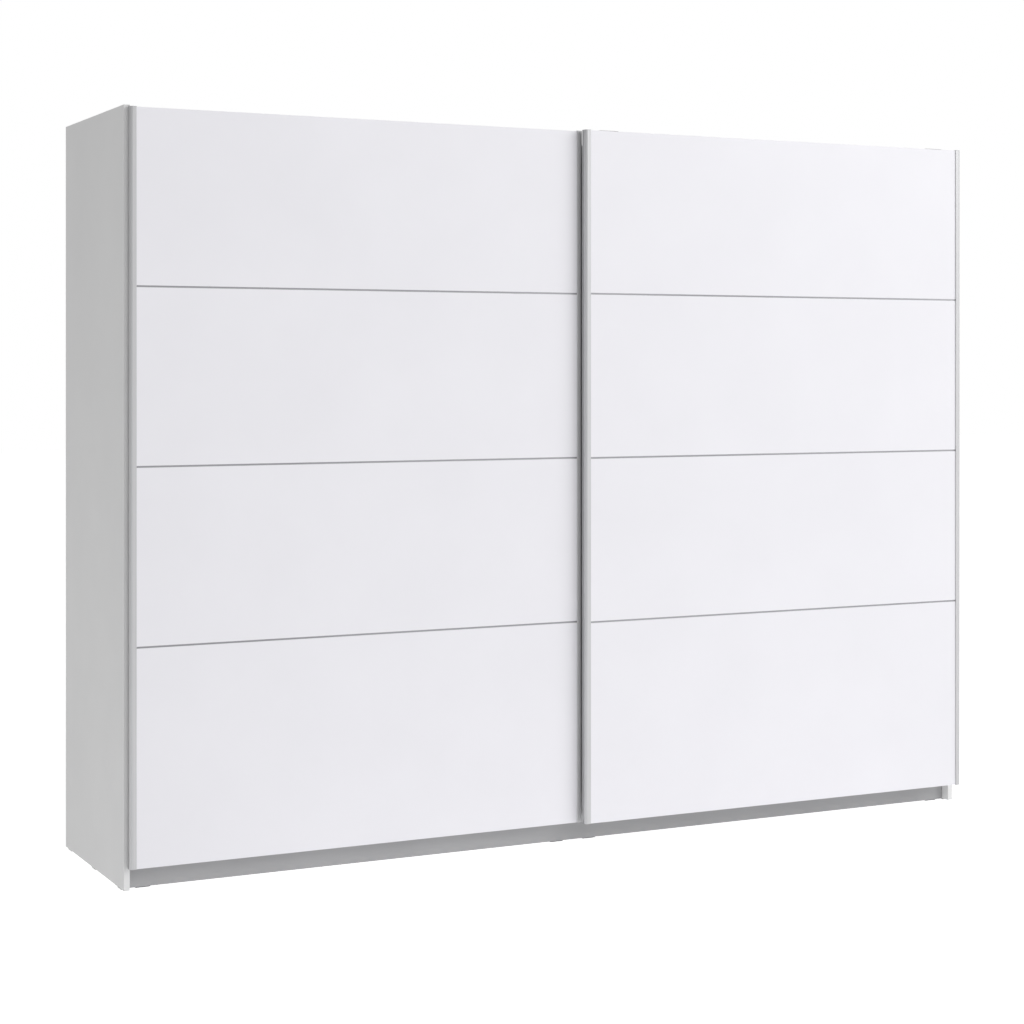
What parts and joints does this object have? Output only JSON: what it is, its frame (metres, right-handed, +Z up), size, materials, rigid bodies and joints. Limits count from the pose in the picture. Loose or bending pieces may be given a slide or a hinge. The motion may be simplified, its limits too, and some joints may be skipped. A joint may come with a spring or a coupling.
{
  "type": "sliding door wardrobe",
  "caption": "Wide wardrobe with a pair of panelled doors that slide past each other on roof-mounted wheels, over hanging bays with a shelf and clothes rail in each, on a recessed plinth.",
  "frame": {"origin": "on the floor, at the middle of the footprint with the doors on", "axes": "+X to the right seen from the front, +Y from the doors to the back, +Z up"},
  "size_m": [2.71, 0.656, 2.08],
  "materials": {
    "white_board": "satin",
    "door_board": "satin",
    "grey_board": "matte",
    "back_board": "matte",
    "white_plastic": "matte",
    "trim_aluminium": "satin",
    "handle_aluminium": "satin",
    "rail_aluminium": "satin",
    "tube_chrome": "polished",
    "grey_plastic": "matte",
    "dark_plastic": "matte",
    "wheel_nylon": "satin",
    "beech": "matte",
    "zinc_cast": "matte",
    "zinc_steel": "satin"
  },
  "bodies": {
    "carcass": {"back_panel_1": "back_board", "back_panel_2": "back_board", "back_panel_3": "back_board", "back_panel_4": "back_board", "back_panel_joiners": "white_plastic", "back_panel_screws": "zinc_steel", "bottom_guide_rail": "rail_aluminium", "bottom_panel_left": "white_board", "bottom_panel_right": "white_board", "cam_bolts": "zinc_steel", "cam_locks": "zinc_cast", "centre_partition": "white_board", "clothes_rail_left": "tube_chrome", "clothes_rail_right": "tube_chrome", "clothes_rail_sockets": "grey_plastic", "dowels": "beech", "floor_glides": "dark_plastic", "plinth_front": "grey_board", "plinth_rear": "grey_board", "plinth_supports": "grey_board", "roof_panel_left": "white_board", "roof_panel_right": "white_board", "running_rail": "rail_aluminium", "running_rail_end_stops": "grey_plastic", "running_rail_screws": "zinc_steel", "shelf_left": "white_board", "shelf_pins": "zinc_cast", "shelf_right": "white_board", "side_panel_left": "white_board", "side_panel_right": "white_board", "wall_bracket_screws": "zinc_steel", "wall_brackets": "zinc_steel"},
    "left_door": {"left_door_bottom_guides": "zinc_steel", "left_door_handle_profile_left": "handle_aluminium", "left_door_handle_profile_right": "handle_aluminium", "left_door_hangers": "zinc_steel", "left_door_panel_1": "door_board", "left_door_panel_2": "door_board", "left_door_panel_3": "door_board", "left_door_panel_4": "door_board", "left_door_profile_end_caps": "grey_plastic", "left_door_roller_axles": "zinc_steel", "left_door_screws": "zinc_steel", "left_door_trim_strips": "trim_aluminium"},
    "right_door": {"right_door_bottom_guides": "zinc_steel", "right_door_handle_profile_left": "handle_aluminium", "right_door_handle_profile_right": "handle_aluminium", "right_door_hangers": "zinc_steel", "right_door_panel_1": "door_board", "right_door_panel_2": "door_board", "right_door_panel_3": "door_board", "right_door_panel_4": "door_board", "right_door_profile_end_caps": "grey_plastic", "right_door_roller_axles": "zinc_steel", "right_door_screws": "zinc_steel", "right_door_trim_strips": "trim_aluminium"},
    "left_door_left_wheel": {"left_door_left_wheel": "wheel_nylon"},
    "left_door_right_wheel": {"left_door_right_wheel": "wheel_nylon"},
    "right_door_left_wheel": {"right_door_left_wheel": "wheel_nylon"},
    "right_door_right_wheel": {"right_door_right_wheel": "wheel_nylon"}
  },
  "joints": [
    {"name": "left_door_slide", "type": "slide", "parent": "carcass", "child": "left_door", "axis": [1, 0, 0], "range_m": [0, 1.341]},
    {"name": "right_door_slide", "type": "slide", "parent": "carcass", "child": "right_door", "axis": [-1, 0, 0], "range_m": [0, 1.341]},
    {"name": "left_door_left_wheel_spin", "type": "hinge", "parent": "left_door", "child": "left_door_left_wheel", "pos_m": [-1.255, -0.2575, 2.0468], "axis": [0, 1, 0], "continuous": true},
    {"name": "left_door_right_wheel_spin", "type": "hinge", "parent": "left_door", "child": "left_door_right_wheel", "pos_m": [-0.086, -0.2575, 2.0468], "axis": [0, 1, 0], "continuous": true},
    {"name": "right_door_left_wheel_spin", "type": "hinge", "parent": "right_door", "child": "right_door_left_wheel", "pos_m": [0.086, -0.2335, 2.0468], "axis": [0, 1, 0], "continuous": true},
    {"name": "right_door_right_wheel_spin", "type": "hinge", "parent": "right_door", "child": "right_door_right_wheel", "pos_m": [1.255, -0.2335, 2.0468], "axis": [0, 1, 0], "continuous": true}
  ],
  "couplings": [
    {"joint": "left_door_left_wheel_spin", "follows": "left_door_slide", "rad_per_m": 83.333},
    {"joint": "left_door_right_wheel_spin", "follows": "left_door_slide", "rad_per_m": 83.333},
    {"joint": "right_door_left_wheel_spin", "follows": "right_door_slide", "rad_per_m": -83.333},
    {"joint": "right_door_right_wheel_spin", "follows": "right_door_slide", "rad_per_m": -83.333}
  ]
}
